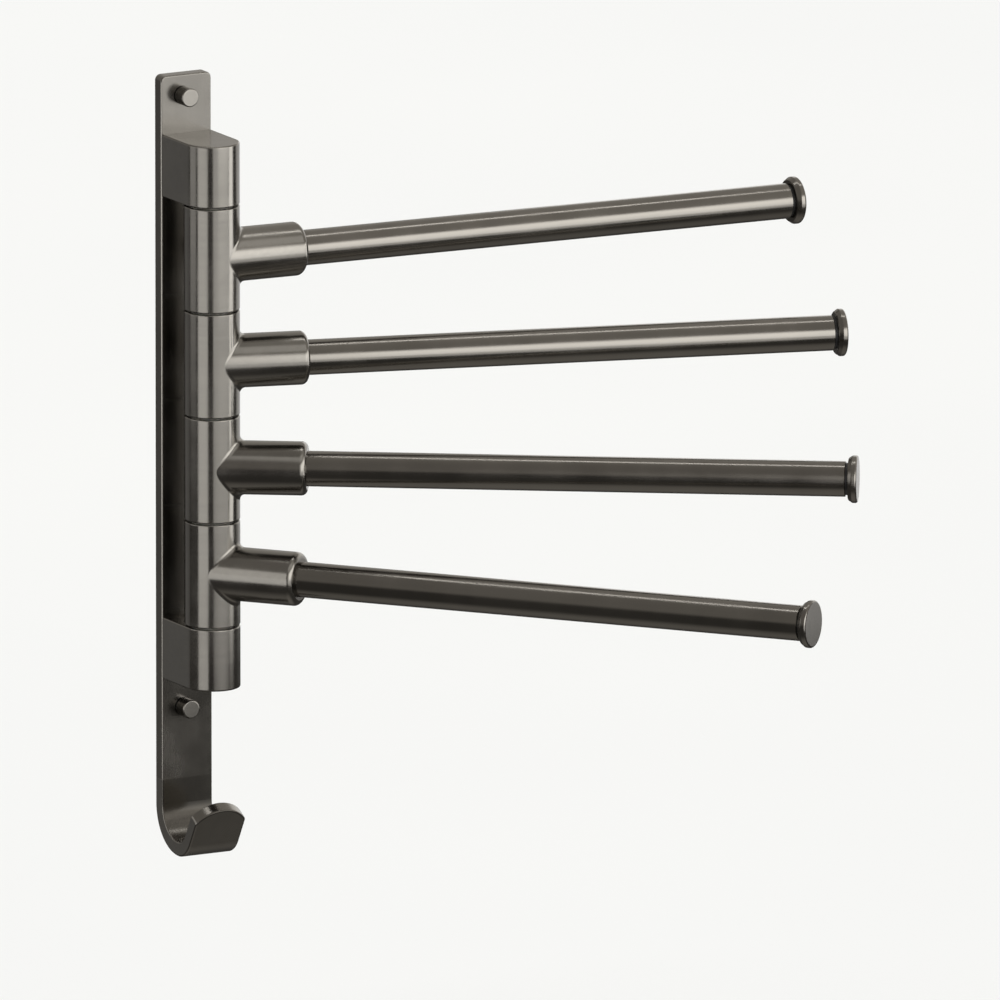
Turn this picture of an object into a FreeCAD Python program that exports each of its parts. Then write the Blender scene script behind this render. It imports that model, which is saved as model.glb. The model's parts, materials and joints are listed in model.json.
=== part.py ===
import FreeCAD, Part
import Sketcher
import math
import os

os.makedirs("parts", exist_ok=True)

V = FreeCAD.Vector
doc = FreeCAD.newDocument("SwingArmTowelBar")

# ---------------------------------------------------------------------------
# Driving dimensions, millimetres and degrees.
# Frame: the wall is the plane y = 0, the room is at -Y, +X runs along the wall
# to the right, +Z is up.  z = 0 is the middle of the stack of four hubs.
# ---------------------------------------------------------------------------
SIZES = [
    # back plate: a shallow channel, open to the wall
    ("plate_wide", 30.0), ("plate_deep", 7.8), ("plate_skin", 2.2), ("plate_top", 179.2),
    ("plate_end", -203.0), ("plate_corner", 3.2), ("plate_edge", 0.8),
    ("tongue_half", 12.0), ("tongue_tall", 14.0), ("tongue_thick", 4.2), ("hook_screw_up", 7.0), ("hook_screw_dia", 3.4),
    # pivot column
    ("axis_y", -36.5), ("pitch", 57.0), ("hub_dia", 29.8), ("hub_tall", 56.2), ("seam", 0.8),
    ("hub_edge", 0.7), ("socket_dia", 28.8), ("socket_end", 51.0), ("socket_round", 3.2),
    ("socket_blend", 3.0), ("core_dia", 14.0), ("bush_dia", 12.0), ("bush_long", 16.0),
    ("flange_dia", 22.0), ("flange_thick", 0.8), ("flange_sink", 0.45), ("rod_dia", 8.0),
    ("rod_gap", 0.05), ("bracket_tall", 33.4), ("bracket_edge", 0.9),
    # arms
    ("arm_reach", 344.0), ("tube_dia", 19.0), ("tube_wall", 1.2), ("tube_start", 19.2),
    ("cap_long", 6.4), ("cap_dia", 25.4), ("cap_rim", 2.8), ("cap_round", 1.1),
    ("ring_thick", 1.4), ("ring_dia", 17.2), ("tube_bevel", 0.35),
    ("socket_bore", 19.1), ("grub_x", 38.0), ("grub_dia", 4.0),
    ("arm_1_turn", 3.2), ("arm_2_turn", 15.8), ("arm_3_turn", 33.6), ("arm_4_turn", 50.6),
    # wall fixings
    ("wall_hole_top", 167.9), ("wall_hole_low", -164.3), ("wall_hole_dia", 4.9), ("wall_hole_x", -2.0),
    ("cover_dia", 10.0), ("cover_long", 8.8), ("seat_dia", 7.8), ("seat_long", 4.6),
    # hook
    ("curl_start", -216.5), ("curl_inner", 17.0), ("curl_front", 7.4), ("lip_lean", 29.6), ("lip_thick", 7.0),
    ("lip_top", 23.6), ("lip_arch", 18.0), ("lip_corner", 3.0), ("hook_round", 1.0),
]
sheet = doc.addObject("Spreadsheet::Sheet", "Dims")
for row, (alias, value) in enumerate(SIZES, start=1):
    sheet.set("A%d" % row, alias)
    sheet.set("B%d" % row, "%g" % value)
    sheet.setAlias("B%d" % row, alias)
doc.recompute()


def size(name):
    return float(sheet.get(name))


made = []          # every sub-part, in order
grouped = {}       # node name -> document object


def tie(obj, **exprs):
    for prop, expr in exprs.items():
        obj.setExpression(prop.replace("__", "."), expr)
    return obj


def cyl(name, dia, tall, x=0.0, y=0.0, z=0.0, along="z"):
    """A cylinder whose diameter and height are expressions."""
    c = doc.addObject("Part::Cylinder", name)
    rot = {"z": FreeCAD.Rotation(), "x": FreeCAD.Rotation(V(0, 1, 0), 90),
           "y": FreeCAD.Rotation(V(1, 0, 0), -90), "-y": FreeCAD.Rotation(V(1, 0, 0), 90),
           "-z": FreeCAD.Rotation(V(1, 0, 0), 180)}[along]
    c.Placement = FreeCAD.Placement(V(x, y, z), rot)
    c.setExpression("Radius", "(%s) / 2" % dia)
    c.setExpression("Height", str(tall))
    return c


def cone(name, d1, d2, tall, x=0.0, y=0.0, z=0.0, along="z"):
    c = doc.addObject("Part::Cone", name)
    rot = {"z": FreeCAD.Rotation(), "x": FreeCAD.Rotation(V(0, 1, 0), 90),
           "y": FreeCAD.Rotation(V(1, 0, 0), -90), "-y": FreeCAD.Rotation(V(1, 0, 0), 90),
           "-z": FreeCAD.Rotation(V(1, 0, 0), 180)}[along]
    c.Placement = FreeCAD.Placement(V(x, y, z), rot)
    c.setExpression("Radius1", "(%s) / 2" % d1)
    c.setExpression("Radius2", "(%s) / 2" % d2)
    c.setExpression("Height", str(tall))
    return c


def prism(name, across, tall, x=0.0, y=0.0, z=0.0, along="z"):
    """A hexagonal bar, the recess that a hex key drives."""
    c = doc.addObject("Part::Prism", name)
    rot = {"z": FreeCAD.Rotation(), "x": FreeCAD.Rotation(V(0, 1, 0), 90),
           "y": FreeCAD.Rotation(V(1, 0, 0), -90), "-y": FreeCAD.Rotation(V(1, 0, 0), 90),
           "-z": FreeCAD.Rotation(V(1, 0, 0), 180)}[along]
    c.Placement = FreeCAD.Placement(V(x, y, z), rot)
    c.Polygon = 6
    c.setExpression("Circumradius", "(%s) / sqrt(3)" % across)
    c.setExpression("Height", str(tall))
    return c


def fuse(name, *parts):
    f = doc.addObject("Part::MultiFuse", name)
    f.Shapes = list(parts)
    f.Refine = True
    return f


def cut(name, base, *tools):
    tool = tools[0] if len(tools) == 1 else fuse(name + "_tools", *tools)
    c = doc.addObject("Part::Cut", name)
    c.Base, c.Tool = base, tool
    return c


def group(name, *parts):
    c = doc.addObject("Part::Compound", name)
    c.Links = list(parts)
    return c


def node(obj, label):
    obj.Label = label
    made.append(obj)
    grouped[label] = obj
    return obj


# --- sketch helpers ---------------------------------------------------------
def new_body(name):
    return doc.addObject("PartDesign::Body", name)


def plane(body, role):
    return next(f for f in body.Origin.OriginFeatures if f.Role == role)


def sketch(body, role, name, shift=None):
    s = body.newObject("Sketcher::SketchObject", name)
    s.AttachmentSupport = [(plane(body, role), "")]
    s.MapMode = "FlatFace"
    if shift is not None:
        s.AttachmentOffset = shift
    return s


def pin_point(s, geo, pos, ex, ey):
    """Ties a sketch point to two expressions, each an (expression, value) pair."""
    for kind, (expr, value), axis in (("DistanceX", ex, -2), ("DistanceY", ey, -1)):
        if abs(value) < 1e-9:
            s.addConstraint(Sketcher.Constraint("PointOnObject", geo, pos, axis))
        else:
            i = s.addConstraint(Sketcher.Constraint(kind, -1, 1, geo, pos, value))
            if expr:
                s.setExpression("Constraints[%d]" % i, expr)


def value_of(expr):
    if isinstance(expr, (int, float)):
        return float(expr)
    names = {a: v for a, v in SIZES}
    out, word = "", ""
    for ch in expr + " ":
        if ch.isalnum() or ch == "_" or ch == ".":
            word += ch
            continue
        if word.startswith("Dims."):
            word = repr(names[word[5:]])
        out += word + ch
        word = ""
    return solve(out)


def solve(text):
    """A small reader for + - * / ( ) and decimal numbers."""
    pos = 0

    def skip():
        nonlocal pos
        while pos < len(text) and text[pos] == " ":
            pos += 1

    def atom():
        nonlocal pos
        skip()
        if text[pos] == "(":
            pos += 1
            v = total()
            skip()
            pos += 1
            return v
        if text[pos] == "-":
            pos += 1
            return -atom()
        start = pos
        while pos < len(text) and (text[pos].isdigit() or text[pos] in ".e"):
            pos += 1
        return float(text[start:pos])

    def product():
        nonlocal pos
        v = atom()
        skip()
        while pos < len(text) and text[pos] in "*/":
            op = text[pos]
            pos += 1
            w = atom()
            v = v * w if op == "*" else v / w
            skip()
        return v

    def total():
        nonlocal pos
        v = product()
        skip()
        while pos < len(text) and text[pos] in "+-":
            op = text[pos]
            pos += 1
            w = product()
            v = v + w if op == "+" else v - w
            skip()
        return v

    return total()


def polygon(s, points):
    """A closed chain of lines through points given as pairs of expressions."""
    vals = [(value_of(a), value_of(b)) for a, b in points]
    first = s.GeometryCount
    n = len(points)
    for i in range(n):
        a, b = vals[i], vals[(i + 1) % n]
        s.addGeometry(Part.LineSegment(V(a[0], a[1], 0), V(b[0], b[1], 0)), False)
    for i in range(n):
        s.addConstraint(Sketcher.Constraint("Coincident", first + i, 2, first + (i + 1) % n, 1))
    for i in range(n):
        ex, ey = points[i]
        pin_point(s, first + i, 1,
                  (ex if isinstance(ex, str) else None, vals[i][0]),
                  (ey if isinstance(ey, str) else None, vals[i][1]))


def circle(s, radius, x=0.0, y=0.0):
    r = value_of(radius)
    g = s.addGeometry(Part.Circle(V(value_of(x), value_of(y), 0), V(0, 0, 1), r), False)
    pin_point(s, g, 3, (x if isinstance(x, str) else None, value_of(x)),
              (y if isinstance(y, str) else None, value_of(y)))
    i = s.addConstraint(Sketcher.Constraint("Radius", g, r))
    if isinstance(radius, str):
        s.setExpression("Constraints[%d]" % i, radius)


def pad(body, s, name, length, mid=False, back=False):
    p = body.newObject("PartDesign::Pad", name)
    p.Profile = s
    p.Length = value_of(length)
    if isinstance(length, str):
        p.setExpression("Length", length)
    p.Midplane = mid
    p.Reversed = back
    body.Tip = p
    return p


def pocket(body, s, name, length=None, back=False, mid=False):
    p = body.newObject("PartDesign::Pocket", name)
    p.Profile = s
    if length is None:
        p.Type = 1
    else:
        p.Length = value_of(length)
        if isinstance(length, str):
            p.setExpression("Length", length)
    p.Midplane = mid
    p.Reversed = back
    body.Tip = p
    return p


def edges_where(shape, test):
    out = []
    for i, e in enumerate(shape.Edges, start=1):
        bb = e.BoundBox
        if test(e, bb):
            out.append("Edge%d" % i)
    return out


def dress(body, kind, name, base, edges, amount, prop):
    f = body.newObject("PartDesign::" + kind, name)
    f.Base = (base, edges)
    f.setExpression(prop, amount)
    body.Tip = f
    return f


def volume_drop(label, before, after):
    if not after < before - 1e-3:
        raise RuntimeError("%s cut nothing: %.2f -> %.2f" % (label, before, after))


near = lambda a, b, tol=1e-3: abs(a - b) < tol

# ---------------------------------------------------------------------------
# Hook geometry, worked out in the side view.
# f = distance in front of the plate's front face, z = height.
# The plate's section runs on below the joint, curls forward and rises as a lip.
# ---------------------------------------------------------------------------
LP = math.radians(size("lip_lean"))
PD = size("plate_deep")
END = size("plate_end")
LN = (math.cos(LP), -math.sin(LP))         # outward normal of the lip's front face
LD = (math.sin(LP), math.cos(LP))          # up along the lip
C1 = (size("curl_inner"), size("curl_start"))                                  # centre of the curl
C2 = (C1[0], C1[1] - size("curl_inner") + size("curl_front"))                  # centre of the outer turn into the lip
RO = size("curl_front") + PD
RI = (RO - size("lip_thick") - size("curl_front") * math.sin(LP)) / (1 - math.sin(LP))
C3 = (C1[0], C1[1] - size("curl_inner") + RI)                                  # centre of the inner turn


def side(f, z, x=0.0):
    return V(x, -(PD + f), z)


def polar(c, r, deg):
    return (c[0] + r * math.cos(math.radians(deg)), c[1] + r * math.sin(math.radians(deg)))


def lip_side(u, l):
    """A point of the side view: u off the outer turn's centre, l up along the lip."""
    return (C2[0] + LN[0] * u + LD[0] * l, C2[1] + LN[1] * u + LD[1] * l)


def some(e):
    return [e.valueAt(e.FirstParameter + (e.LastParameter - e.FirstParameter) * k) for k in (0.07, 0.31, 0.57, 0.88)]


def off_skin(p, outer):
    """How far a point lies from the hook's outer or inner skin."""
    f, z = -p.y - PD, p.z
    if f < 0.01 and z >= C1[1]:
        return f + (PD if outer else 0.0)
    if f <= C1[0]:
        return math.hypot(f - C1[0], z - C1[1]) - C1[0] - (PD if outer else 0.0)
    c, r = (C2, RO) if outer else (C3, RI)
    if (f - c[0]) * LD[0] + (z - c[1]) * LD[1] < 0:
        return math.hypot(f - c[0], z - c[1]) - r
    return (f - c[0]) * LN[0] + (z - c[1]) * LN[1] - r


# ---------------------------------------------------------------------------
# Back plate
# ---------------------------------------------------------------------------
b = new_body("plate_body")
s = sketch(b, "XZ_Plane", "plate_front_view")
polygon(s, [("-Dims.plate_wide / 2", "Dims.plate_end"), ("Dims.plate_wide / 2", "Dims.plate_end"),
            ("Dims.plate_wide / 2", "Dims.plate_top"), ("-Dims.plate_wide / 2", "Dims.plate_top")])
pad(b, s, "plate_slab", "Dims.plate_deep")
doc.recompute()
tops = edges_where(b.Shape, lambda e, bb: near(bb.ZMax, size("plate_top")) and near(bb.ZMin, size("plate_top"))
                   and bb.YLength > PD - 0.1)
dress(b, "Fillet", "plate_corner_round", b.Tip, tops, "Dims.plate_corner", "Radius")
doc.recompute()

def plate_front_edge(e, bb):
    """Edges around the front face, but for the one at the joint with the hook."""
    return all(near(v.Point.y, -PD, 1e-4) for v in e.Vertexes) and near(bb.YLength, 0, 1e-3) \
        and not near(bb.ZMax, END, 1e-3)



rim = edges_where(b.Shape, plate_front_edge)
dress(b, "Fillet", "plate_edge_round", b.Tip, rim, "Dims.plate_edge", "Radius")
doc.recompute()
# the wall side's outer edges, rounded like the hook's outer skin that carries them on
backs = edges_where(b.Shape, lambda e, bb: near(bb.YMin, 0) and near(bb.YMax, 0) and not near(bb.ZMax, END))
dress(b, "Fillet", "plate_back_round", b.Tip, backs, "Dims.hook_round", "Radius")
doc.recompute()
# channel behind the plate, with islands left standing at the wall screws and a rib at mid height
before = b.Shape.Volume
s = sketch(b, "XZ_Plane", "channel_view")
inner = "Dims.plate_wide / 2 - Dims.plate_skin"
for lo, hi in (("8", "Dims.plate_top - Dims.plate_skin"), ("Dims.plate_end + Dims.tongue_tall + 2", "-8")):
    polygon(s, [("-(%s)" % inner, lo), (inner, lo), (inner, hi), ("-(%s)" % inner, hi)])
circle(s, "Dims.wall_hole_dia / 2 + 3.6", "Dims.wall_hole_x", "Dims.wall_hole_top")
circle(s, "Dims.wall_hole_dia / 2 + 3.6", "Dims.wall_hole_x", "Dims.wall_hole_low")
pocket(b, s, "channel", "Dims.plate_deep - Dims.plate_skin", back=True)
doc.recompute()
volume_drop("channel", before, b.Shape.Volume)
before = b.Shape.Volume
s = sketch(b, "XZ_Plane", "plate_holes")
circle(s, "Dims.wall_hole_dia / 2", "Dims.wall_hole_x", "Dims.wall_hole_top")
circle(s, "Dims.wall_hole_dia / 2", "Dims.wall_hole_x", "Dims.wall_hole_low")
for zz in ("Dims.pitch * 2 + Dims.seam / 2 + 8", "Dims.pitch * 2 + Dims.seam / 2 + 25.4"):
    circle(s, 2.6, 0.0, zz)
    circle(s, 2.6, 0.0, "-(%s)" % zz)
pocket(b, s, "plate_hole_cut", "Dims.plate_deep + 1", back=True)
doc.recompute()
volume_drop("plate holes", before, b.Shape.Volume)

before = b.Shape.Volume
s = sketch(b, "XZ_Plane", "tongue_seat_view")
polygon(s, [("-Dims.tongue_half", "Dims.plate_end - 1"), ("Dims.tongue_half", "Dims.plate_end - 1"),
            ("Dims.tongue_half", "Dims.plate_end + Dims.tongue_tall"), ("-Dims.tongue_half", "Dims.plate_end + Dims.tongue_tall")])
pocket(b, s, "tongue_seat", "Dims.tongue_thick", back=True)
doc.recompute()
volume_drop("tongue seat", before, b.Shape.Volume)
# two blind threaded holes in front of the tongue
hook_threads = []
for i, x in enumerate((-7.0, 7.0), start=1):
    hook_threads.append(cyl("hook_thread_%d" % i, "Dims.hook_screw_dia", 4.4, x, -2.5, END + size("hook_screw_up"), "-y"))
node(cut("plate_finished", b, *hook_threads), "back_plate")

# ---------------------------------------------------------------------------
# Hook: one casting, the plate's section curled forward and up into a lip with an
# arched end, with a tongue that is let into the back of the plate
# ---------------------------------------------------------------------------
def build_hook():
    half, top = size("plate_wide") / 2, size("lip_top")
    ui = RO - size("lip_thick")
    deg = -90 + (90 - size("lip_lean")) / 2
    q = {"a": (-PD, END), "b": (-PD, C1[1]), "m1": polar(C1, C1[0] + PD, 225), "c": (C1[0], C1[1] - C1[0] - PD),
         "m2": polar(C2, RO, deg), "d": lip_side(RO, 0), "e": lip_side(RO, top + 2), "f": lip_side(ui, top + 2),
         "g": (C3[0] + LN[0] * RI, C3[1] + LN[1] * RI), "m3": polar(C3, RI, deg), "h": (C1[0], C1[1] - C1[0]),
         "m4": polar(C1, C1[0], 225), "i": (0.0, C1[1]), "j": (0.0, END)}
    p = {k: side(v[0], v[1], -half) for k, v in q.items()}
    line = lambda m, n: Part.LineSegment(p[m], p[n]).toShape()
    arc = lambda m, n, o: Part.Arc(p[m], p[n], p[o]).toShape()
    solid = Part.Face(Part.Wire([line("a", "b"), arc("b", "m1", "c"), arc("c", "m2", "d"), line("d", "e"), line("e", "f"),
                                 line("f", "g"), arc("g", "m3", "h"), arc("h", "m4", "i"), line("i", "j"), line("j", "a")
                                 ])).extrude(V(2 * half, 0, 0))
    # the arched end of the lip
    r, w, u = size("lip_arch"), half + 1.5, RO + 3
    fall = r - math.sqrt(r * r - w * w)
    at = lambda x, l: side(*lip_side(u, l), x)
    above = Part.Face(Part.Wire([
        Part.Arc(at(-w, top - fall), at(0, top), at(w, top - fall)).toShape(),
        Part.LineSegment(at(w, top - fall), at(w, top + 12)).toShape(),
        Part.LineSegment(at(w, top + 12), at(-w, top + 12)).toShape(),
        Part.LineSegment(at(-w, top + 12), at(-w, top - fall)).toShape()])).extrude(V(0, LN[0], -LN[1]) * 18)
    solid = solid.cut(above)
    corners = [e for e in solid.Edges if all(near(abs(v.x), half) for v in some(e))
               and abs(e.tangentAt(e.FirstParameter).dot(V(0, -LN[0], LN[1]))) > 0.999
               and all((-v.y - PD) > C1[0] + 3 for v in some(e))]
    print("lip corners", len(corners))
    solid = solid.makeFillet(size("lip_corner"), corners)
    for outer, amount in ((True, size("hook_round")), (False, size("plate_edge"))):
        rim = []
        for e in solid.Edges:
            bb = e.BoundBox
            if bb.YLength < 1e-4 and bb.ZLength < 1e-4:
                continue
            if all(near(off_skin(v, outer), 0, 2e-3) for v in some(e)):
                rim.append(e)
        before = solid.Volume
        solid = solid.makeFillet(amount, rim)
        print("hook edges", "outer" if outer else "inner", len(rim), "volume", round(before, 1), round(solid.Volume, 1), solid.isValid())
    h, t = size("tongue_half") - 0.05, size("tongue_thick") - 0.05
    tongue = Part.makeBox(2 * h, t, size("tongue_tall") - 0.1 + 3, V(-h, -t, END - 3))
    solid = solid.fuse(tongue).removeSplitter()
    for x in (-7.0, 7.0):
        z = END + size("hook_screw_up")
        solid = solid.cut(Part.makeCylinder(2.05, 8, V(x, 1, z), V(0, -1, 0)))
        solid = solid.cut(Part.makeCone(4.9, 1.9, 3.0, V(x, 0.9, z), V(0, -1, 0)))
    return solid


hook_raw = build_hook()
print("hook solids", len(hook_raw.Solids), [round(v.Volume, 1) for v in hook_raw.Solids], hook_raw.isValid())
if len(hook_raw.Solids) != 1 or not hook_raw.isValid():
    raise RuntimeError("the hook isn't one good solid")
hook = doc.addObject("Part::Feature", "hook_casting")
hook.Shape = hook_raw
node(hook, "hook")

# two countersunk screws through the tongue into the plate
screws = []
for i, x in enumerate((-7.0, 7.0), start=1):
    z = END + size("hook_screw_up")
    head = cone("hook_screw_head_%d" % i, 7.1, 3.3, 1.9, x, -0.3, z, "-y")
    shank = cyl("hook_screw_shank_%d" % i, "Dims.hook_screw_dia", 4.6, x, -2.1, z, "-y")
    key = prism("hook_screw_key_%d" % i, 2.25, 1.7, x, 0.2, z, "-y")
    screws.append(cut("hook_screw_%d" % i, fuse("hook_screw_body_%d" % i, head, shank), key))
node(group("hook_screw_pair", *screws), "hook_screws")

# ---------------------------------------------------------------------------
# Brackets: D-shaped blocks that carry the pivot rod
# ---------------------------------------------------------------------------
def bracket(name, label, lower):
    b = new_body(name + "_body")
    z0 = "Dims.pitch * 2 + Dims.seam / 2"
    shift = FreeCAD.Placement(V(0, 0, value_of(z0) * (1 if not lower else -1)), FreeCAD.Rotation())
    s = sketch(b, "XY_Plane", name + "_block", shift)
    s.setExpression("AttachmentOffset.Base.z", z0 if not lower else "-(%s)" % z0)
    polygon(s, [("-Dims.hub_dia / 2", "-Dims.plate_deep"), ("-Dims.hub_dia / 2", "Dims.axis_y"),
                ("Dims.hub_dia / 2", "Dims.axis_y"), ("Dims.hub_dia / 2", "-Dims.plate_deep")])
    pad(b, s, name + "_block_pad", "Dims.bracket_tall", back=lower)
    s = sketch(b, "XY_Plane", name + "_nose", shift)
    s.setExpression("AttachmentOffset.Base.z", z0 if not lower else "-(%s)" % z0)
    circle(s, "Dims.hub_dia / 2", 0.0, "Dims.axis_y")
    pad(b, s, name + "_nose_pad", "Dims.bracket_tall", back=lower)
    doc.recompute()
    zs, ze = value_of(z0), value_of(z0) + size("bracket_tall")
    if lower:
        zs, ze = -zs, -ze
    nose = edges_where(b.Shape, lambda e, bb: near(bb.ZMin, ze) and near(bb.ZMax, ze)
                       and not (near(bb.YMin, -PD) and near(bb.YMax, -PD)))
    dress(b, "Fillet", name + "_outer_round", b.Tip, nose, "Dims.bracket_edge", "Radius")
    doc.recompute()
    seam_edges = edges_where(b.Shape, lambda e, bb: near(bb.ZMin, zs) and near(bb.ZMax, zs)
                             and not (near(bb.YMin, -PD) and near(bb.YMax, -PD)))
    dress(b, "Fillet", name + "_seam_round", b.Tip, seam_edges, "Dims.hub_edge", "Radius")
    doc.recompute()
    # rod hole: blind from below in the top bracket, right through the bottom one
    before = b.Shape.Volume
    s = sketch(b, "XY_Plane", name + "_rod_view", shift)
    circle(s, "Dims.rod_dia / 2" if not lower else "Dims.rod_dia / 2 + Dims.rod_gap", 0.0, "Dims.axis_y")
    pocket(b, s, name + "_rod_hole", "22" if not lower else "Dims.bracket_tall + 1", back=not lower)
    doc.recompute()
    volume_drop(name + " rod hole", before, b.Shape.Volume)
    before = b.Shape.Volume
    s = sketch(b, "XY_Plane", name + "_washer_view", shift)
    circle(s, "Dims.flange_dia / 2 + 0.1", 0.0, "Dims.axis_y")
    pocket(b, s, name + "_washer_sink", "Dims.flange_sink", back=not lower)
    doc.recompute()
    volume_drop(name + " washer sink", before, b.Shape.Volume)
    # two threaded holes in the back for the screws that come through the plate
    before = b.Shape.Volume
    s = sketch(b, "XZ_Plane", name + "_back_view")
    for zz in ("Dims.pitch * 2 + Dims.seam / 2 + 8", "Dims.pitch * 2 + Dims.seam / 2 + 25.4"):
        circle(s, 2.5, 0.0, zz if not lower else "-(%s)" % zz)
    pocket(b, s, name + "_screw_holes", "Dims.plate_deep + 12", back=True)
    doc.recompute()
    volume_drop(name + " screw holes", before, b.Shape.Volume)
    if lower:
        # counterbore for the rod's head and its springs, and a step for the cover
        before = b.Shape.Volume
        far = FreeCAD.Placement(V(0, 0, ze), FreeCAD.Rotation())
        s = sketch(b, "XY_Plane", name + "_head_view", far)
        s.setExpression("AttachmentOffset.Base.z", "-(%s) - Dims.bracket_tall" % z0)
        circle(s, 8.0, 0.0, "Dims.axis_y")
        pocket(b, s, name + "_head_bore", "15", back=True)
        s = sketch(b, "XY_Plane", name + "_cover_view", far)
        s.setExpression("AttachmentOffset.Base.z", "-(%s) - Dims.bracket_tall" % z0)
        circle(s, 9.2, 0.0, "Dims.axis_y")
        pocket(b, s, name + "_cover_step", "2", back=True)
        doc.recompute()
        volume_drop(name + " head bore", before, b.Shape.Volume)
    return node(b, label)


bracket("top_bracket", "top_bracket", False)
bracket("bottom_bracket", "bottom_bracket", True)

AX = size("axis_y")
Z0 = size("pitch") * 2 + size("seam") / 2


def along_y_screw(name, x, z, head_d, head_t, shank_d, shank_l, y_head, key_af):
    """A cap-head screw driven from the wall side: head towards the wall, shank towards the room."""
    head = cyl(name + "_head", head_d, head_t, x, y_head, z, "y")
    shank = cyl(name + "_shank", shank_d, shank_l, x, y_head, z, "-y")
    key = prism(name + "_key", key_af, head_t * 0.6, x, y_head + head_t * 0.4 + 0.01, z, "y")
    return cut(name, fuse(name + "_body", head, shank), key)


four = []
y_in = -(PD - size("plate_skin"))
for i, zz in enumerate((Z0 + 8, Z0 + 25.4, -(Z0 + 8), -(Z0 + 25.4)), start=1):
    four.append(along_y_screw("bracket_screw_%d" % i, 0, zz, 9.0, 3.4, 5.0, 13.2, y_in, 3.0))
node(group("bracket_screw_set", *four), "bracket_screws")

# ---------------------------------------------------------------------------
# Pivot: rod with a socket head, two disc springs and a washer under it, cover
# ---------------------------------------------------------------------------
ceil_z = -(Z0 + size("bracket_tall")) + 15.0
head_top = ceil_z - 2.4 - 1.2
rod = cyl("rod_shaft", "Dims.rod_dia", "%g" % (Z0 + 20.5 - head_top), 0, AX, head_top)
rod_head = cyl("rod_head", 14.0, 6.5, 0, AX, head_top, "-z")
rod_key = prism("rod_key", 6.0, 4.0, 0, AX, head_top - 6.51)
rod_tip = cone("rod_tip", "Dims.rod_dia", "Dims.rod_dia - 1.6", 0.8, 0, AX, Z0 + 20.5)
node(cut("rod_whole", fuse("rod_body", rod, rod_head, rod_tip), rod_key), "pivot_rod")

washer = cut("rod_washer_ring", cyl("rod_washer_disc", 15.4, 1.2, 0, AX, head_top),
             cyl("rod_washer_hole", 8.4, 3.0, 0, AX, head_top - 1))
node(washer, "rod_washer")

springs = []
for i in range(2):
    # two conical discs, large edges together
    zb = head_top + 1.2 + i * 1.2
    if i == 0:
        outer = cone("spring_%d_outer" % i, 10.4, 15.4, 0.5, 0, AX, zb)
        ring = fuse("spring_%d_solid" % i, outer, cyl("spring_%d_rim" % i, 15.4, 0.7, 0, AX, zb + 0.5))
        hollow = cone("spring_%d_inner" % i, 9.6, 14.6, 0.5, 0, AX, zb + 0.7)
        hole = cyl("spring_%d_hole" % i, 8.4, 3.0, 0, AX, zb - 0.5)
    else:
        outer = cone("spring_%d_outer" % i, 15.4, 10.4, 0.5, 0, AX, zb + 0.7)
        ring = fuse("spring_%d_solid" % i, outer, cyl("spring_%d_rim" % i, 15.4, 0.7, 0, AX, zb))
        hollow = cone("spring_%d_inner" % i, 14.6, 9.6, 0.5, 0, AX, zb)
        hole = cyl("spring_%d_hole" % i, 8.4, 3.0, 0, AX, zb - 0.5)
    springs.append(cut("spring_%d" % i, ring, hollow, hole))
node(group("spring_pair", *springs), "disc_springs")

cover = fuse("cover_whole", cyl("cover_disc", 18.36, 1.9, 0, AX, -(Z0 + size("bracket_tall")) + 0.1),
             cyl("cover_spigot", 15.96, 2.4, 0, AX, -(Z0 + size("bracket_tall")) + 2.0))
node(cover, "rod_cover")


def washer_ring(name, z):
    return cut(name, cyl(name + "_disc", "Dims.flange_dia", "Dims.flange_thick", 0, AX, z),
               cyl(name + "_hole", "Dims.rod_dia + 2 * Dims.rod_gap", 3.0, 0, AX, z - 1))


node(washer_ring("thrust_top", Z0 - (size("flange_thick") - size("flange_sink"))), "top_thrust_washer")
node(washer_ring("thrust_low", -Z0 - size("flange_sink")), "bottom_thrust_washer")

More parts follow.
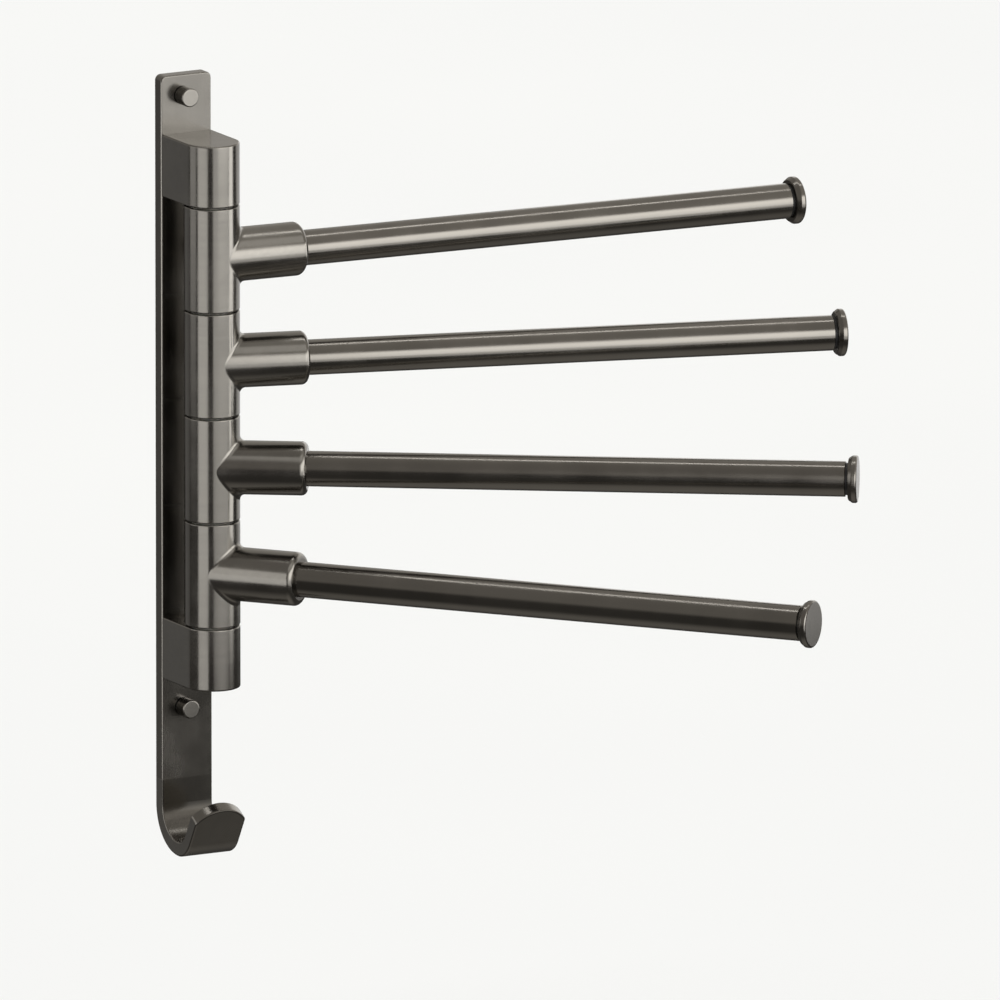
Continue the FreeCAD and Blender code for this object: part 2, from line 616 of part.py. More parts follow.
# ---------------------------------------------------------------------------
# Wall screws, their seats and the round covers that snap on
# ---------------------------------------------------------------------------
WX = size("wall_hole_x")
wall_screws, seats = [], []
for tag, zz in (("top", size("wall_hole_top")), ("low", size("wall_hole_low"))):
    yf = -PD
    head = cone("wall_head_" + tag, 4.4, 7.4, 1.7, WX, yf - 1.9, zz, "-y")
    neck = cyl("wall_neck_" + tag, 3.5, 1.9 + PD, WX, 0, zz, "-y")
    shank = cyl("wall_shank_" + tag, 4.2, 17.0, WX, 0, zz, "y")
    tip = cone("wall_tip_" + tag, 4.2, 0.6, 4.0, WX, 17.0, zz, "y")
    key = prism("wall_key_" + tag, 2.6, 1.3, WX, yf - 2.31, zz, "-y")
    wall_screws.append(cut("wall_screw_" + tag, fuse("wall_screw_body_" + tag, head, neck, shank, tip), key))
    seat = cyl("seat_disc_" + tag, "Dims.seat_dia", "Dims.seat_long", WX, yf, zz, "-y")
    foot = cyl("seat_foot_" + tag, "Dims.cover_dia - 0.6", 0.8, WX, yf, zz, "-y")
    hole = cyl("seat_hole_" + tag, 4.6, 8.0, WX, yf + 1, zz, "-y")
    sink = cone("seat_sink_" + tag, 4.6, 7.6, 1.7, WX, yf - 1.9, zz, "-y")
    top = cyl("seat_top_" + tag, 7.5, 3.0, WX, yf - 3.6, zz, "-y")
    seats.append(cut("seat_" + tag, fuse("seat_body_" + tag, seat, foot), hole, sink, top))
    outer = cyl("cover_outer_" + tag, "Dims.cover_dia", "Dims.cover_long - 0.8", WX, yf - 0.8, zz, "-y")
    bore = cyl("cover_bore_" + tag, "Dims.seat_dia", "5.4", WX, yf - 0.8, zz, "-y")
    cov = cut("cover_" + tag, outer, bore)
    doc.recompute()
    fil = doc.addObject("Part::Fillet", "cover_round_" + tag)
    fil.Base = cov
    fil.Edges = [(i, 0.7, 0.7) for i, e in enumerate(cov.Shape.Edges, start=1)
                 if near(e.BoundBox.YMin, yf - size("cover_long"), 1e-3) and near(e.BoundBox.YMax, yf - size("cover_long"), 1e-3)
                 and e.Length > 20]
    node(fil, {"top": "upper_screw_cover", "low": "lower_screw_cover"}[tag])
node(group("wall_screw_pair", *wall_screws), "wall_screws")
node(group("seat_pair", *seats), "cover_seats")

# ---------------------------------------------------------------------------
# The four arms.  Each is modelled with its pivot on the local Z axis and the
# tube along local +X, then turned about the pivot to its rest angle.
# ---------------------------------------------------------------------------
def place(obj, n):
    z = "Dims.pitch * %g" % (1.5 - (n - 1))
    obj.Placement = FreeCAD.Placement(V(0, AX, size("pitch") * (1.5 - (n - 1))),
                                      FreeCAD.Rotation(V(0, 0, 1), -size("arm_%d_turn" % n)))
    obj.setExpression("Placement.Base.y", "Dims.axis_y")
    obj.setExpression("Placement.Base.z", z)
    return obj


def hub(n):
    nm = "hub_%d" % n
    b = new_body(nm + "_body")
    s = sketch(b, "XY_Plane", nm + "_plan")
    circle(s, "Dims.hub_dia / 2")
    pad(b, s, nm + "_barrel", "Dims.hub_tall", mid=True)
    s = sketch(b, "YZ_Plane", nm + "_end_view")
    circle(s, "Dims.socket_dia / 2")
    pad(b, s, nm + "_socket", "Dims.socket_end")
    doc.recompute()
    hr, half = size("hub_dia") / 2, size("hub_tall") / 2
    join = edges_where(b.Shape, lambda e, bb: bb.ZMax < half - 1 and bb.ZMin > -half + 1
                       and bb.XMax < hr + 0.5 and bb.XMin > -1 and e.Length > 10)
    dress(b, "Fillet", nm + "_blend", b.Tip, join, "Dims.socket_blend", "Radius")
    doc.recompute()
    ends = edges_where(b.Shape, lambda e, bb: near(abs(bb.ZMin), half) and near(bb.ZLength, 0))
    dress(b, "Fillet", nm + "_edge", b.Tip, ends, "Dims.hub_edge", "Radius")
    doc.recompute()
    mouth = edges_where(b.Shape, lambda e, bb: near(bb.XMin, size("socket_end")) and near(bb.XMax, size("socket_end")))
    dress(b, "Fillet", nm + "_mouth_round", b.Tip, mouth, "Dims.socket_round", "Radius")
    doc.recompute()
    before = b.Shape.Volume
    s = sketch(b, "XY_Plane", nm + "_bore_view")
    circle(s, "Dims.bush_dia / 2")
    pocket(b, s, nm + "_bore", "Dims.hub_tall + 2", mid=True)
    s = sketch(b, "XY_Plane", nm + "_core_view")
    circle(s, "Dims.core_dia / 2")
    pocket(b, s, nm + "_core", "Dims.hub_tall - 2 * Dims.bush_long - 4", mid=True)
    for sign, tag in ((1, "up"), (-1, "down")):
        off = FreeCAD.Placement(V(0, 0, sign * half), FreeCAD.Rotation())
        s = sketch(b, "XY_Plane", nm + "_sink_" + tag, off)
        s.setExpression("AttachmentOffset.Base.z", "%sDims.hub_tall / 2" % ("" if sign > 0 else "-"))
        circle(s, "Dims.flange_dia / 2 + 0.1")
        pocket(b, s, nm + "_sink_cut_" + tag, "Dims.flange_sink", back=sign < 0)
    doc.recompute()
    volume_drop(nm + " bore", before, b.Shape.Volume)
    before = b.Shape.Volume
    off = FreeCAD.Placement(V(0, 0, size("socket_end")), FreeCAD.Rotation())
    s = sketch(b, "YZ_Plane", nm + "_tube_view", off)
    s.setExpression("AttachmentOffset.Base.z", "Dims.socket_end")
    circle(s, "Dims.socket_bore / 2")
    pocket(b, s, nm + "_tube_bore", "Dims.socket_end - Dims.tube_start + 0.2")
    doc.recompute()
    volume_drop(nm + " tube bore", before, b.Shape.Volume)
    before = b.Shape.Volume
    s = sketch(b, "XY_Plane", nm + "_grub_view")
    circle(s, "Dims.grub_dia / 2", "Dims.grub_x", 0.0)
    pocket(b, s, nm + "_grub_hole", "Dims.socket_dia / 2 + 1")
    doc.recompute()
    volume_drop(nm + " set screw hole", before, b.Shape.Volume)
    place(b, n)
    return node(b, nm)


def end_cap(n):
    nm = "cap_%d" % n
    b = new_body(nm + "_body")
    s = sketch(b, "XZ_Plane", nm + "_half_view")
    L = "Dims.arm_reach"
    base = "Dims.arm_reach - Dims.cap_long"
    back = "%s + Dims.ring_thick" % base
    polygon(s, [("%s - 13" % base, 0.0), ("%s - 13" % base, 2.0), (back, 2.0), (back, "Dims.cap_dia / 2 - 1.7"),
                ("%s + 0.35" % back, "Dims.cap_dia / 2 - 1.25"),
                ("%s - Dims.cap_rim" % L, "Dims.cap_dia / 2"),
                (L, "Dims.cap_dia / 2"), (L, 0.0)])
    r = b.newObject("PartDesign::Revolution", nm + "_turned")
    r.Profile = s
    r.ReferenceAxis = (s, ["H_Axis"])
    r.Angle = 360
    b.Tip = r
    doc.recompute()
    rim = edges_where(b.Shape, lambda e, bb: bb.ZLength > size("cap_dia") - 0.2 and bb.XLength < 1e-3)
    dress(b, "Fillet", nm + "_rim_round", b.Tip, rim, "Dims.cap_round", "Radius")
    doc.recompute()
    place(b, n)
    return node(b, "end_cap_%d" % n)


def bushes(n):
    nm = "bush_%d" % n
    half = size("hub_tall") / 2
    out = []
    for sign, tag in ((1, "up"), (-1, "down")):
        way = "-z" if sign > 0 else "z"
        face = sign * (half + size("flange_thick") - size("flange_sink"))
        flange = cyl("%s_%s_flange" % (nm, tag), "Dims.flange_dia", "Dims.flange_thick", 0, 0, face, way)
        sleeve = cyl("%s_%s_sleeve" % (nm, tag), "Dims.bush_dia", "Dims.bush_long", 0, 0, face, way)
        hole = cyl("%s_%s_hole" % (nm, tag), "Dims.rod_dia + 2 * Dims.rod_gap", "Dims.bush_long + 4",
                   0, 0, face + sign * 2, way)
        out.append(cut("%s_%s" % (nm, tag), fuse("%s_%s_body" % (nm, tag), flange, sleeve), hole))
    return node(place(group(nm + "_pair", *out), n), "hub_%d_bushes" % n)


def arm_parts(n):
    nm = "arm_%d" % n
    start, reach = size("tube_start"), size("arm_reach")
    end = reach - size("cap_long")
    whole = cyl(nm + "_outer", "Dims.tube_dia", "Dims.arm_reach - Dims.cap_long - Dims.tube_start - Dims.tube_bevel", start, 0, 0, "x")
    bevel = cone(nm + "_bevel", "Dims.tube_dia", "Dims.tube_dia - 2 * Dims.tube_bevel", "Dims.tube_bevel", end - size("tube_bevel"), 0, 0, "x")
    outer = fuse(nm + "_outside", whole, bevel)
    inner = cyl(nm + "_inner", "Dims.tube_dia - 2 * Dims.tube_wall", "Dims.arm_reach", start - 5, 0, 0, "x")
    node(place(cut(nm + "_tube", outer, inner), n), "arm_tube_%d" % n)
    # plug that stops the set screw from denting the tube
    plug = cyl(nm + "_plug_rod", "Dims.tube_dia - 2 * Dims.tube_wall", 30.0, start, 0, 0, "x")
    nose = cone(nm + "_plug_nose", "Dims.tube_dia - 2 * Dims.tube_wall", "Dims.tube_dia - 2 * Dims.tube_wall - 4", 2.0,
                start + 30.0, 0, 0, "x")
    core = cyl(nm + "_plug_core", 6.0, 40.0, start - 2, 0, 0, "x")
    node(place(cut(nm + "_plug", fuse(nm + "_plug_body", plug, nose), core), n), "tube_plug_%d" % n)
    # ribbed insert that holds the end cap's stud
    ribs = [cyl(nm + "_rib_core", "Dims.tube_dia - 2 * Dims.tube_wall - 1.6", 16.2, end - 16.2, 0, 0, "x"),
            cyl(nm + "_collar", "Dims.ring_dia", "Dims.ring_thick", end, 0, 0, "x"),
            cyl(nm + "_shoulder", "Dims.tube_dia - 2 * Dims.tube_wall", 2.0, end - 2.0, 0, 0, "x")]
    for k in range(3):
        ribs.append(cone("%s_rib_%d" % (nm, k), "Dims.tube_dia - 2 * Dims.tube_wall - 1.6",
                         "Dims.tube_dia - 2 * Dims.tube_wall", 2.4, end - 15.4 + 3.8 * k, 0, 0, "x"))
    bore = cyl(nm + "_insert_bore", 4.0, 20.0, end - 18, 0, 0, "x")
    node(place(cut(nm + "_insert", fuse(nm + "_insert_body", *ribs), bore), n), "cap_insert_%d" % n)
    # set screw from below, point on the tube
    zt = -size("tube_dia") / 2
    grub = cyl(nm + "_grub_rod", "Dims.grub_dia", 4.2, size("grub_x"), 0, zt, "-z")
    key = prism(nm + "_grub_key", 2.0, 2.0, size("grub_x"), 0, zt - 4.21)
    node(place(cut(nm + "_grub", grub, key), n), "set_screw_%d" % n)


for n in (1, 2, 3, 4):
    hub(n)
    bushes(n)
    arm_parts(n)
    end_cap(n)

# ---------------------------------------------------------------------------
# Check everything, then write one file per sub-part
# ---------------------------------------------------------------------------
doc.recompute()
bad = [o.Name for o in doc.Objects if any(f in o.State for f in ("Invalid", "Error"))]
if bad:
    raise RuntimeError("failed objects: %s" % ", ".join(bad))
for o in made:
    sh = o.Shape
    if sh.isNull() or not sh.isValid() or sh.Volume <= 0 or not sh.Solids:
        raise RuntimeError("bad shape: %s" % o.Label)
labels = [o.Label for o in made]
if len(labels) != len(set(labels)):
    raise RuntimeError("two sub-parts share a name")
for o in made:
    o.Shape.exportStep("parts/%s.step" % o.Label)
    print("%-24s solids %d  volume %9.1f mm3" % (o.Label, len(o.Shape.Solids), o.Shape.Volume))
box = Part.makeCompound([o.Shape for o in made]).BoundBox
print("nodes", len(made), "box x %.1f..%.1f y %.1f..%.1f z %.1f..%.1f" % (box.XMin, box.XMax, box.YMin, box.YMax, box.ZMin, box.ZMax))
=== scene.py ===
import bpy
import json
import math
from mathutils import Matrix, Vector


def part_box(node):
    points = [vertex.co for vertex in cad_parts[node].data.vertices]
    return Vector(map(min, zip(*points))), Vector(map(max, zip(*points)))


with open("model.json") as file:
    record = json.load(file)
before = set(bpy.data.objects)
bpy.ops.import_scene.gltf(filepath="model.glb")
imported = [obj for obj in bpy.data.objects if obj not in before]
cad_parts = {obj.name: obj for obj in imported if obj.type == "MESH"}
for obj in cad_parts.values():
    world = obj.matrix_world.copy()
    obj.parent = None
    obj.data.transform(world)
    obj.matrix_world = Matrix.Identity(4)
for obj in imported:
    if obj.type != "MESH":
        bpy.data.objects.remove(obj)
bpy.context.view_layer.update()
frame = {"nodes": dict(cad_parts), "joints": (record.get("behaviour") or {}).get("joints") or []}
nodes = frame["nodes"]
joints = {j["child"]: j for j in frame["joints"]}
HUB_Y = joints["arm_1"]["pos_m"][1]

# the camera, at the photograph's angle --------------------------------------

camera_data = bpy.data.cameras.new("camera")
camera_data.lens = 1500.0
camera_data.sensor_width = 36.0
camera_data.clip_start = 1.0
camera_data.clip_end = 400.0
camera = bpy.data.objects.new("camera", camera_data)
bpy.context.scene.collection.objects.link(camera)
at = Vector((-10.146582, -19.124135, 4.657892))
forward = Vector((0.464732, 0.859535, -0.212657)).normalized()
right = Vector((0.879656, -0.475611, 0.0)).normalized()
up = right.cross(forward)
camera.matrix_world = Matrix((
    (right.x, up.x, -forward.x, at.x),
    (right.y, up.y, -forward.y, at.y),
    (right.z, up.z, -forward.z, at.z),
    (0.0, 0.0, 0.0, 1.0)))
bpy.context.scene.camera = camera


# node tree helpers ----------------------------------------------------------

class Tree:
    """Builds one material's nodes."""

    def __init__(self, name):
        self.material = bpy.data.materials.new(name)
        self.material.use_nodes = True
        self.t = self.material.node_tree
        self.t.nodes.clear()
        self.out = self.t.nodes.new("ShaderNodeOutputMaterial")
        self.shader = self.t.nodes.new("ShaderNodeBsdfPrincipled")
        self.link(self.shader.outputs[0], self.out.inputs[0])

    def link(self, a, b):
        self.t.links.new(a, b)

    def place(self, pivot=(0, 0, 0), turn=0.0):
        """Coordinates in metres on the object, turned so that X runs along an arm."""
        c = self.t.nodes.new("ShaderNodeTexCoord")
        m = self.t.nodes.new("ShaderNodeMapping")
        m.vector_type = "TEXTURE"
        m.inputs["Location"].default_value = pivot
        m.inputs["Rotation"].default_value = (0, 0, turn)
        self.link(c.outputs["Object"], m.inputs["Vector"])
        return m.outputs[0]

    def noise(self, vector, stretch, detail=2.0, rough=0.5, offset=0.0):
        m = self.t.nodes.new("ShaderNodeMapping")
        m.inputs["Scale"].default_value = stretch
        m.inputs["Location"].default_value = (offset, offset * 0.7, offset * 1.3)
        n = self.t.nodes.new("ShaderNodeTexNoise")
        n.inputs["Scale"].default_value = 1.0
        n.inputs["Detail"].default_value = detail
        n.inputs["Roughness"].default_value = rough
        self.link(vector, m.inputs["Vector"])
        self.link(m.outputs[0], n.inputs["Vector"])
        return n.outputs["Fac"]

    def radius(self, vector, centre=(0, 0, 0), axis="Z"):
        """Distance from an axis through centre, for turned surfaces."""
        s = self.t.nodes.new("ShaderNodeVectorMath")
        s.operation = "SUBTRACT"
        s.inputs[1].default_value = centre
        self.link(vector, s.inputs[0])
        k = self.t.nodes.new("ShaderNodeVectorMath")
        k.operation = "MULTIPLY"
        k.inputs[1].default_value = {"X": (0, 1, 1), "Y": (1, 0, 1), "Z": (1, 1, 0)}[axis]
        self.link(s.outputs[0], k.inputs[0])
        ln = self.t.nodes.new("ShaderNodeVectorMath")
        ln.operation = "LENGTH"
        self.link(k.outputs[0], ln.inputs[0])
        return ln.outputs["Value"]

    def part(self, vector, axis):
        s = self.t.nodes.new("ShaderNodeSeparateXYZ")
        self.link(vector, s.inputs[0])
        return s.outputs["XYZ".index(axis)]

    def pack(self, x=None, y=None, z=None):
        c = self.t.nodes.new("ShaderNodeCombineXYZ")
        for i, v in enumerate((x, y, z)):
            if v is not None:
                self.link(v, c.inputs[i])
        return c.outputs[0]

    def ramp(self, value, low, high, to_low, to_high):
        r = self.t.nodes.new("ShaderNodeMapRange")
        r.clamp = True
        self.link(value, r.inputs["Value"])
        r.inputs["From Min"].default_value = low
        r.inputs["From Max"].default_value = high
        r.inputs["To Min"].default_value = to_low
        r.inputs["To Max"].default_value = to_high
        return r.outputs["Result"]

    def math(self, op, a, b):
        m = self.t.nodes.new("ShaderNodeMath")
        m.operation = op
        for i, v in enumerate((a, b)):
            if isinstance(v, (int, float)):
                m.inputs[i].default_value = v
            else:
                self.link(v, m.inputs[i])
        return m.outputs[0]

    def mix(self, factor, a, b):
        m = self.t.nodes.new("ShaderNodeMix")
        m.data_type = "RGBA"
        self.link(factor, m.inputs[0])
        for i, v in ((6, a), (7, b)):
            if isinstance(v, tuple):
                m.inputs[i].default_value = (*v, 1.0)
            else:
                self.link(v, m.inputs[i])
        return m.outputs[2]

    def edges(self, radius, low, high):
        """1 along edges, 0 on open faces."""
        b = self.t.nodes.new("ShaderNodeBevel")
        b.samples = 4
        b.inputs["Radius"].default_value = radius
        g = self.t.nodes.new("ShaderNodeNewGeometry")
        d = self.t.nodes.new("ShaderNodeVectorMath")
        d.operation = "DOT_PRODUCT"
        self.link(b.outputs[0], d.inputs[0])
        self.link(g.outputs["Normal"], d.inputs[1])
        return self.ramp(d.outputs["Value"], high, low, 0.0, 1.0)

    def bump(self, height, strength, distance, below=None):
        b = self.t.nodes.new("ShaderNodeBump")
        b.inputs["Strength"].default_value = strength
        b.inputs["Distance"].default_value = distance
        self.link(height, b.inputs["Height"])
        if below is not None:
            self.link(below, b.inputs["Normal"])
        return b.outputs[0]


def scaled(colour, k):
    return tuple(min(1.0, c * k) for c in colour)


def metal(name, colour, rough, grain, turned=None, pivot=(0, 0, 0), turn=0.0, cast=0.0, edge_wear_and_highlight=1.0, seed=0.0, relief=0.05):
    """Plated metal: a grain from brushing or turning, soft stains from handling, fine specks, and edges painted
    lighter, partly as rubbed wear and partly as a painted edge highlight.
    """
    t = Tree(name)
    p = t.place(pivot, turn)
    if turned:
        centre, axis = turned
        q = t.pack(t.radius(p, centre, axis), t.part(p, axis))
        lines = t.noise(q, (2600, 2600, 1), 2.0, 0.6, seed)
        broad = t.noise(q, (420, 420, 1), 1.0, 0.5, seed + 3)
    else:
        lines = t.noise(p, grain, 2.0, 0.6, seed)
        broad = t.noise(p, tuple(g * 0.22 for g in grain), 1.0, 0.5, seed + 3)
    stains = t.noise(p, (34, 34, 34), 3.0, 0.55, seed + 11)
    specks = t.noise(p, (1500, 1500, 1500), 1.0, 0.5, seed + 17)
    worn_and_highlit_edges = t.edges(0.0006, 0.90, 0.995)
    mottled = t.math("ADD", t.math("MULTIPLY", stains, 0.75), t.math("MULTIPLY", broad, 0.25))
    shade = t.mix(t.ramp(mottled, 0.38, 0.62, 0.0, 1.0), scaled(colour, 0.94), scaled(colour, 1.05))
    shade = t.mix(t.ramp(specks, 0.68, 0.82, 0.0, 0.22), shade, scaled(colour, 0.60))
    # Edges painted a lighter colour: partly rubbed wear, partly a painted highlight along every edge.
    shade = t.mix(t.math("MULTIPLY", worn_and_highlit_edges, 0.45 * edge_wear_and_highlight), shade, scaled(colour, 1.75))
    t.link(shade, t.shader.inputs["Base Color"])
    r = t.ramp(stains, 0.35, 0.68, rough - 0.035, rough + 0.05)
    r = t.math("ADD", r, t.ramp(lines, 0.3, 0.7, -0.012, 0.012))
    r = t.math("SUBTRACT", r, t.math("MULTIPLY", worn_and_highlit_edges, 0.05 * edge_wear_and_highlight))
    t.link(r, t.shader.inputs["Roughness"])
    n = t.bump(lines, relief, 0.00002)
    if cast:
        waves = t.noise(p, (160, 160, 160), 1.0, 0.4, seed + 23)
        n = t.bump(waves, cast, 0.0002, n)
    t.link(n, t.shader.inputs["Normal"])
    t.shader.inputs["Metallic"].default_value = 1.0
    t.shader.inputs["IOR"].default_value = 1.6
    return t.material


def plastic(name, colour, rough, wax=0.0, seed=0.0):
    """Moulded plastic: a spark-eroded grain, flow marks and a slightly shinier edge, whose colour is also painted
    lighter, partly as rubbed wear and partly as a painted edge sheen.
    """
    t = Tree(name)
    p = t.place()
    grain = t.noise(p, (2400, 2400, 2400), 2.0, 0.6, seed)
    flow = t.noise(p, (90, 90, 260), 2.0, 0.5, seed + 5)
    worn_and_highlit_edges = t.edges(0.0005, 0.90, 0.995)
    shade = t.mix(t.ramp(flow, 0.35, 0.65, 0.0, 1.0), scaled(colour, 0.90), scaled(colour, 1.06))
    # Edges painted a lighter colour: partly rubbed wear, partly a painted sheen along every edge.
    shade = t.mix(t.math("MULTIPLY", worn_and_highlit_edges, 0.25), shade, scaled(colour, 1.4))
    t.link(shade, t.shader.inputs["Base Color"])
    r = t.math("ADD", t.ramp(grain, 0.3, 0.7, rough - 0.06, rough + 0.06), t.math("MULTIPLY", worn_and_highlit_edges, -0.08))
    t.link(r, t.shader.inputs["Roughness"])
    t.link(t.bump(grain, 0.25, 0.00004), t.shader.inputs["Normal"])
    t.shader.inputs["Subsurface Weight"].default_value = wax
    t.shader.inputs["Subsurface Radius"].default_value = (0.0012, 0.0010, 0.0008)
    t.shader.inputs["Subsurface Scale"].default_value = 1.0
    return t.material


def dress(node, material):
    o = nodes[node]
    if not o.material_slots:
        o.data.materials.append(material)
    for s in o.material_slots:
        s.material = material


# materials ------------------------------------------------------------------

GUN = (0.205, 0.194, 0.175)
STEEL = (0.56, 0.56, 0.57)
hub_axis = (0.0, HUB_Y, 0.0)

dress("back_plate", metal("plate_finish", GUN, 0.23, (1500, 1500, 14), seed=1, relief=0.018))
dress("top_bracket", metal("top_bracket_finish", GUN, 0.20, None, turned=(hub_axis, "Z"), seed=2))
dress("bottom_bracket", metal("bottom_bracket_finish", GUN, 0.20, None, turned=(hub_axis, "Z"), seed=3))
# The hook's edges get twice the lighter edge colour: partly worn metal, partly a painted highlight along its rims.
dress("hook", metal("hook_finish", GUN, 0.23, (900, 900, 900), cast=0.05, edge_wear_and_highlight=2.0, seed=4, relief=0.03))
dress("rod_cover", metal("rod_cover_finish", GUN, 0.24, None, turned=(hub_axis, "Z"), seed=5))
for k, name in enumerate(("upper_screw_cover", "lower_screw_cover")):
    lo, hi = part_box(name)
    dress(name, metal(name + "_finish", GUN, 0.22, None, turned=((lo + hi) / 2, "Y"), seed=6 + k))
dress("pivot_rod", metal("rod_finish", STEEL, 0.22, None, turned=(hub_axis, "Z"), edge_wear_and_highlight=0.4, seed=9))
dress("rod_washer", metal("washer_finish", STEEL, 0.33, None, turned=(hub_axis, "Z"), edge_wear_and_highlight=0.5, seed=10))
dress("disc_springs", metal("spring_finish", (0.30, 0.29, 0.28), 0.36, None, turned=(hub_axis, "Z"), edge_wear_and_highlight=0.6, seed=12))
for k, name in enumerate(("bracket_screws", "hook_screws", "wall_screws")):
    dress(name, metal(name + "_finish", (0.55, 0.55, 0.58), 0.34, (700, 700, 700), edge_wear_and_highlight=0.7, seed=13 + k))
nylon = plastic("nylon", (0.80, 0.78, 0.70), 0.42, wax=0.15, seed=2)
for name in ("top_thrust_washer", "bottom_thrust_washer"):
    dress(name, nylon)
moulded = plastic("moulded_black", (0.012, 0.012, 0.012), 0.48, seed=7)
# The cover seats take the black plastic so that the gap between rod cover and plate reads dark: painted shade in that
# gap.
dress("cover_seats", moulded)

for n in range(1, 5):
    j = joints["arm_%d" % n]
    turn = math.radians(j["range_deg"][0])
    pivot = Vector(j["pos_m"])
    dress("hub_%d" % n, metal("hub_%d_finish" % n, GUN, 0.19, None, turned=(hub_axis, "Z"), seed=20 + n))
    dress("hub_%d_bushes" % n, nylon)
    dress("arm_tube_%d" % n, metal("tube_%d_finish" % n, (0.200, 0.188, 0.169), 0.19, (16, 1500, 1500), pivot=pivot, turn=turn, seed=30 + n))
    dress("tube_plug_%d" % n, moulded)
    dress("cap_insert_%d" % n, moulded)
    dress("set_screw_%d" % n, metal("set_screw_%d_finish" % n, (0.30, 0.29, 0.28), 0.34, (700, 700, 700), seed=40 + n))
    dress("end_cap_%d" % n, metal("cap_%d_finish" % n, (0.200, 0.188, 0.169), 0.20, None, turned=((0, 0, 0), "X"), pivot=pivot, turn=turn, seed=50 + n))

# floor ----------------------------------------------------------------------

FLOOR = -0.45
SIDE, STEPS = 90.0, 12
verts, faces = [], []
for i in range(STEPS + 1):
    for k in range(STEPS + 1):
        verts.append(((i / STEPS - 0.5) * SIDE, (k / STEPS - 0.5) * SIDE, FLOOR))
for i in range(STEPS):
    for k in range(STEPS):
        a = i * (STEPS + 1) + k
        faces.append((a, a + STEPS + 1, a + STEPS + 2, a + 1))
floor_mesh = bpy.data.meshes.new("floor")
floor_mesh.from_pydata(verts, [], faces)
floor = bpy.data.objects.new("floor", floor_mesh)
bpy.context.scene.collection.objects.link(floor)
t = Tree("floor_paint")
p = t.place()
t.link(t.mix(t.noise(p, (1.5, 1.5, 1.5), 2.0), (0.86, 0.86, 0.86), (0.90, 0.90, 0.89)), t.shader.inputs["Base Color"])
t.shader.inputs["Roughness"].default_value = 0.9
t.shader.inputs["Specular IOR Level"].default_value = 0.1
floor_mesh.materials.append(t.material)
floor.visible_glossy = False

# light ----------------------------------------------------------------------

def lights_for(name, chosen):
    """The pieces that a light shines on."""
    c = bpy.data.collections.new(name)
    for key, o in nodes.items():
        if chosen(key):
            c.objects.link(o)
    return c


def on_arm_end(key):
    return key.startswith(("arm_tube", "end_cap", "cap_insert", "tube_plug"))


lit = lights_for("lit", lambda key: True)
column = lights_for("column", lambda key: not on_arm_end(key) and key not in ("back_plate", "hook"))
rails = lights_for("rails", on_arm_end)
plate = lights_for("plate", lambda key: key == "back_plate")
not_rails = lights_for("not_rails", lambda key: not on_arm_end(key) and key != "hook")
foot = lights_for("foot", lambda key: key == "hook")


def softbox(name, azimuth, distance, low, high, width, radiance, colour=(1, 1, 1), tilt=None, on=None):
    """A softbox that stands round the column of hubs, azimuth degrees to the right of -Y, and shines on the object."""
    a = math.radians(azimuth)
    centre = Vector((math.sin(a) * distance, HUB_Y - math.cos(a) * distance, (low + high) / 2))
    light = bpy.data.lights.new(name, "AREA")
    light.shape = "RECTANGLE"
    light.size, light.size_y = width, high - low
    light.energy = radiance * math.pi * width * (high - low)
    light.color = colour
    o = bpy.data.objects.new(name, light)
    bpy.context.scene.collection.objects.link(o)
    target = Vector((0, HUB_Y, centre.z if tilt is None else tilt))
    o.location = centre
    o.rotation_mode = "QUATERNION"
    o.rotation_quaternion = (target - centre).to_track_quat("-Z", "Y")
    o.visible_camera = False
    o.light_linking.receiver_collection = on or lit
    return o


softbox("front_column", 11, 1.3, -0.445, 0.75, 1.75, 1.22, on=column)
softbox("front_column_bright", 20, 1.2, -0.10, 0.55, 1.0, 1.5, on=column)
softbox("front_rails", 11, 1.3, -0.445, 0.75, 1.75, 1.25, on=rails)
softbox("front_rails_bright", 20, 1.2, -0.10, 0.55, 1.0, 1.6, on=rails)
softbox("front_plate", 11, 1.3, -0.285, 0.75, 1.75, 1.20, on=plate)
softbox("front_plate_bright", 20, 1.2, -0.02, 0.55, 1.0, 1.35, on=plate)
softbox("front_foot", 24, 1.3, -0.44, 0.10, 1.5, 0.30, on=foot)
softbox("left", -66, 1.1, -0.44, 0.02, 0.85, 1.5, on=not_rails)
softbox("left_high", -74, 1.1, 0.02, 0.55, 0.75, 1.1, on=column)
softbox("high_soft", 0, 1.0, 0.9, 1.7, 1.8, 0.55, tilt=0.0, on=column)
softbox("right_strip", 57, 1.15, -0.35, 0.5, 0.42, 3.0, on=not_rails)
softbox("back_left", -112, 1.6, -0.30, 0.70, 0.9, 0.8)
softbox("back_left_low", 208, 1.5, -0.75, 0.45, 0.9, 0.17, on=column)
softbox("back_left_plate", 208, 1.5, -0.75, 0.45, 0.9, 0.08, on=plate)
softbox("back_left_foot", 208, 1.5, -0.80, 0.30, 0.9, 0.14, on=foot)
softbox("left_plate", -92, 1.1, -0.445, 0.05, 1.3, 1.4, on=plate)
softbox("left_foot", -86, 1.1, -0.445, -0.05, 1.5, 0.9, on=foot)
softbox("back_right", 118, 1.5, -0.42, 0.70, 1.6, 0.8)


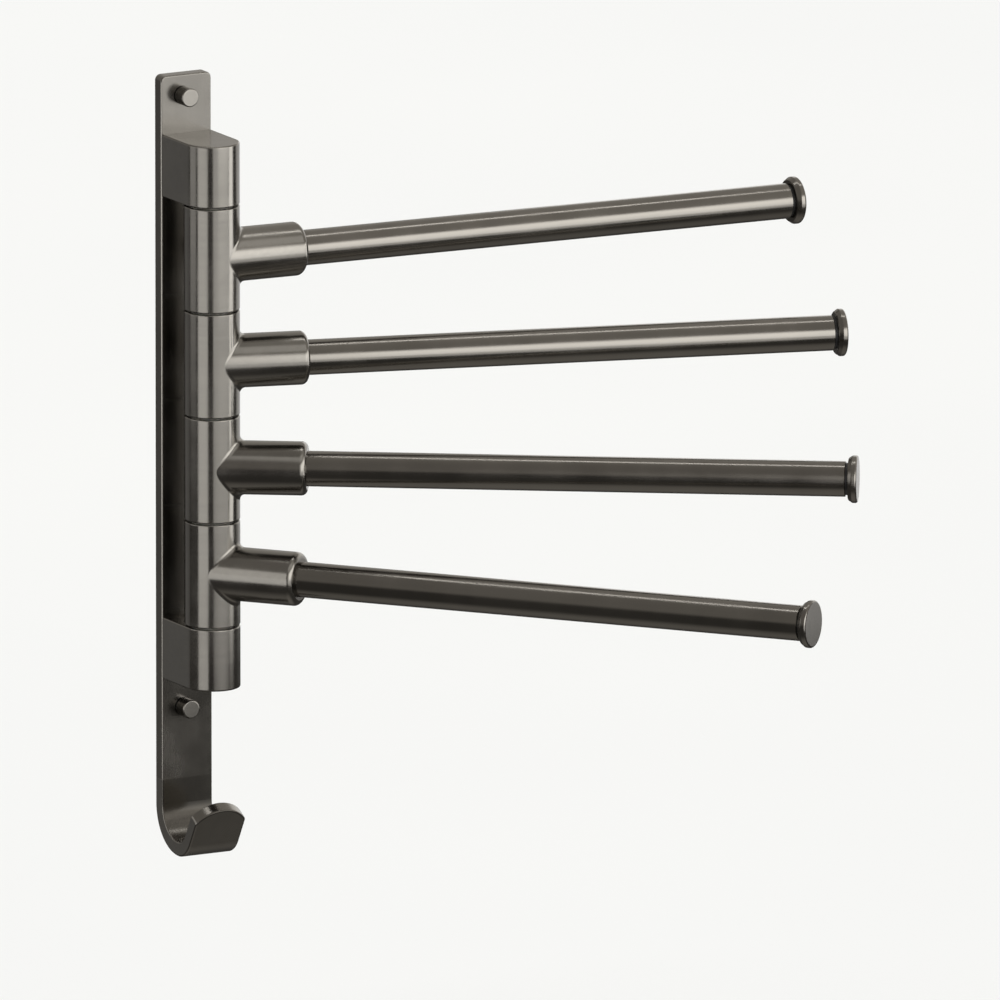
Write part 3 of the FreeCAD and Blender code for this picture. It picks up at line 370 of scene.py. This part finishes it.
def overhead_strip(name, centre, along, length, width, radiance):
    """A long narrow light above the arms, shining down on the object."""
    light = bpy.data.lights.new(name, "AREA")
    light.shape = "RECTANGLE"
    light.size, light.size_y = length, width
    light.energy = radiance * math.pi * length * width
    o = bpy.data.objects.new(name, light)
    bpy.context.scene.collection.objects.link(o)
    x = Vector(along).normalized()
    z = (Vector(centre) - Vector((0.15, HUB_Y, 0.0))).normalized()
    x = (x - z * x.dot(z)).normalized()
    y = z.cross(x)
    o.matrix_world = Matrix((
        (x.x, y.x, z.x, centre[0]),
        (x.y, y.y, z.y, centre[1]),
        (x.z, y.z, z.z, centre[2]),
        (0.0, 0.0, 0.0, 1.0)))
    o.visible_camera = False
    o.light_linking.receiver_collection = lit


overhead_strip("overhead_strip", (0.25, 0.2, 2.0), (-0.92, 0.39, 0.0), 2.2, 0.16, 4.0)

ground = bpy.data.collections.new("ground")
ground.objects.link(floor)
sun_light = bpy.data.lights.new("overhead", "SUN")
sun_light.energy = 2.2
sun_light.color = (0.94, 0.975, 1.0)
sun_light.angle = math.radians(46)
sun = bpy.data.objects.new("overhead", sun_light)
bpy.context.scene.collection.objects.link(sun)
sun.rotation_mode = "QUATERNION"
sun.rotation_quaternion = Vector((0.25, 0.35, -1.0)).to_track_quat("-Z", "Y")
sun.visible_camera = False
sun.light_linking.receiver_collection = ground

world = bpy.data.worlds.new("studio")
world.use_nodes = True
w = world.node_tree
w.nodes.clear()
wo = w.nodes.new("ShaderNodeOutputWorld")
bg_seen = w.nodes.new("ShaderNodeBackground")
bg_seen.inputs[0].default_value = (0.93, 0.93, 0.93, 1)
bg_lit = w.nodes.new("ShaderNodeBackground")
bg_lit.inputs[0].default_value = (1.0, 0.955, 0.89, 1)


def between(value, low, high, to_low, to_high):
    r = w.nodes.new("ShaderNodeMapRange")
    r.interpolation_type = "SMOOTHSTEP"
    w.links.new(value, r.inputs["Value"])
    for key, v in (("From Min", low), ("From Max", high), ("To Min", to_low), ("To Max", to_high)):
        r.inputs[key].default_value = v
    return r.outputs["Result"]


# a room that is dark round the object, and pale above and straight below
way = w.nodes.new("ShaderNodeTexCoord")
split = w.nodes.new("ShaderNodeSeparateXYZ")
w.links.new(way.outputs["Generated"], split.inputs[0])
above = between(split.outputs[2], -0.08, 0.22, 0.0, 1.0)
level = between(split.outputs[0], -0.5, 0.5, 0.26, 0.50)
product = w.nodes.new("ShaderNodeMath")
product.operation = "MULTIPLY_ADD"
w.links.new(above, product.inputs[0])
w.links.new(level, product.inputs[1])
w.links.new(between(split.outputs[2], -1.0, -0.72, 0.36, 0.09), product.inputs[2])
w.links.new(product.outputs[0], bg_lit.inputs[1])
path = w.nodes.new("ShaderNodeLightPath")
mixer = w.nodes.new("ShaderNodeMixShader")
w.links.new(path.outputs["Is Camera Ray"], mixer.inputs[0])
w.links.new(bg_lit.outputs[0], mixer.inputs[1])
w.links.new(bg_seen.outputs[0], mixer.inputs[2])
w.links.new(mixer.outputs[0], wo.inputs[0])
bpy.context.scene.world = world
bpy.context.scene.view_settings.view_transform = "Standard"
